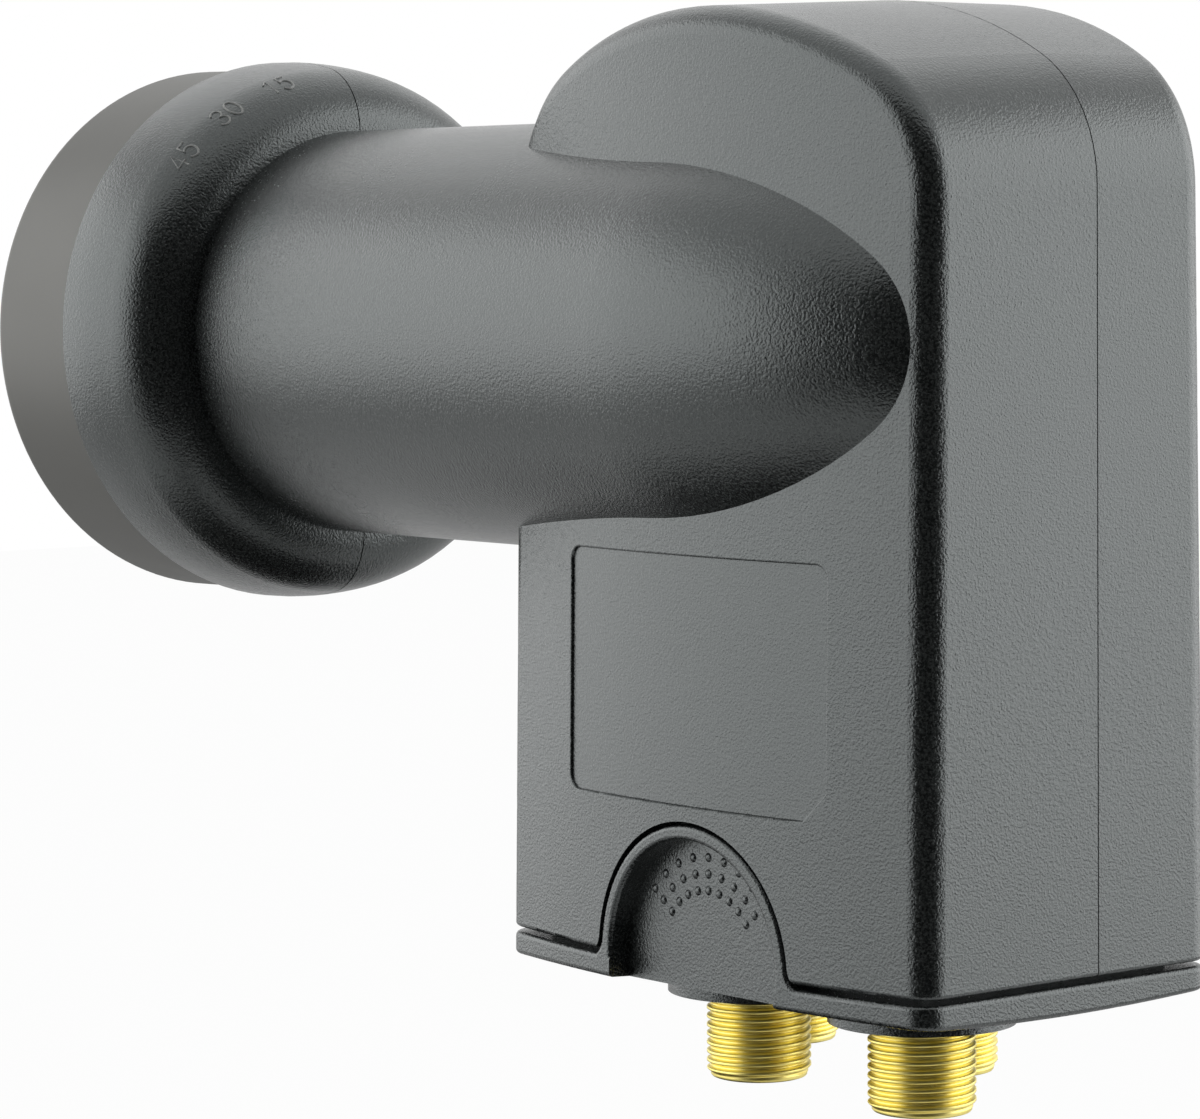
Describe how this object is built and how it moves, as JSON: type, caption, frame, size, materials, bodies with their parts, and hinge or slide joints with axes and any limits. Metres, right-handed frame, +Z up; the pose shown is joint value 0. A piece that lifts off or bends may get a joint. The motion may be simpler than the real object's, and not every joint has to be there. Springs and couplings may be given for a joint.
{
  "type": "satellite lnb",
  "caption": "Satellite low-noise block with a round feed horn on a clamp neck, an upright plastic housing, a pull-down weather shield and threaded coaxial sockets underneath.",
  "frame": {"origin": "on the horn axis at the middle of the clamp neck", "axes": "+Y forwards along the horn axis, +Z up, -X the side with the shallow rectangular recess"},
  "size_m": [0.0544, 0.1193, 0.0965],
  "materials": {
    "housing_plastic": "matte, fine spark-eroded grain",
    "cap_plastic": "matte, smooth",
    "gold_plate": "bright gold plate",
    "plated_brass": "plated",
    "cast_alloy": "as cast",
    "steel": "plain",
    "board": "solder mask",
    "chip": "moulded",
    "insulator": "smooth",
    "rubber": "matte"
  },
  "bodies": {
    "housing": {"back_probe": "plated_brass", "back_probe_sleeve": "insulator", "cap_seal": "rubber", "chassis_casting": "cast_alloy", "choke_1": "chip", "choke_2": "chip", "choke_3": "chip", "choke_4": "chip", "circuit_board": "board", "converter_chip": "chip", "cover_gasket": "rubber", "cover_screws": "steel", "crystal": "steel", "f_socket_1": "gold_plate", "f_socket_2": "gold_plate", "f_socket_3": "gold_plate", "f_socket_4": "gold_plate", "front_probe": "plated_brass", "front_probe_sleeve": "insulator", "horn_cap": "cap_plastic", "label_side_shell": "housing_plastic", "plain_side_shell": "housing_plastic", "reflector_pin": "plated_brass", "regulator": "chip", "screen_cover": "cast_alloy", "socket_contact_1": "gold_plate", "socket_contact_2": "gold_plate", "socket_contact_3": "gold_plate", "socket_contact_4": "gold_plate", "socket_insulator_1": "insulator", "socket_insulator_2": "insulator", "socket_insulator_3": "insulator", "socket_insulator_4": "insulator", "socket_seal_1": "rubber", "socket_seal_2": "rubber", "socket_seal_3": "rubber", "socket_seal_4": "rubber", "switch_chip": "chip"},
    "shield": {"weather_shield": "housing_plastic"}
  },
  "joints": [
    {"name": "shield_slide", "type": "slide", "parent": "housing", "child": "shield", "axis": [0, 0, -1], "range_m": [0, 0.022]}
  ]
}
